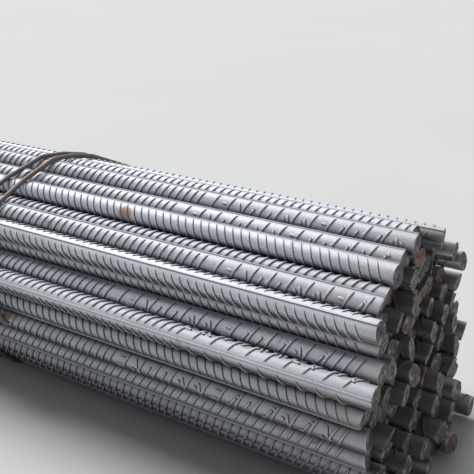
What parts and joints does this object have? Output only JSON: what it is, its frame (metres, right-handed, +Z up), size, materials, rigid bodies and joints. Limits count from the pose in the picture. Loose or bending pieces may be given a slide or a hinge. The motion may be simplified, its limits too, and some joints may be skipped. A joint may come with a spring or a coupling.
{
  "type": "rebar bundle",
  "caption": "Round bundle of straight ribbed steel reinforcing bars with staggered sheared ends, tied with twisted wire rod and lying on a level floor.",
  "frame": {"origin": "middle of the bundle's underside, on the floor under the tie wires", "axes": "+X along the bars towards the pictured end, +Y to the rear, +Z up"},
  "size_m": [6.0736, 0.3516, 0.2763],
  "materials": {
    "bar_steel": "hot rolled, with thin blue-grey mill scale and a soft sheen",
    "tie_wire": "dull dark wire rod with light rust"
  },
  "bodies": {
    "root": {"bars_course_01": "bar_steel", "bars_course_02": "bar_steel", "bars_course_03": "bar_steel", "bars_course_04": "bar_steel", "bars_course_05": "bar_steel", "bars_course_06": "bar_steel", "bars_course_07": "bar_steel", "bars_course_08": "bar_steel", "bars_course_09": "bar_steel", "bars_course_10": "bar_steel", "bars_course_11": "bar_steel", "bars_course_12": "bar_steel", "tie_1": "tie_wire", "tie_2": "tie_wire", "tie_3": "tie_wire", "tie_4": "tie_wire"}
  },
  "joints": []
}
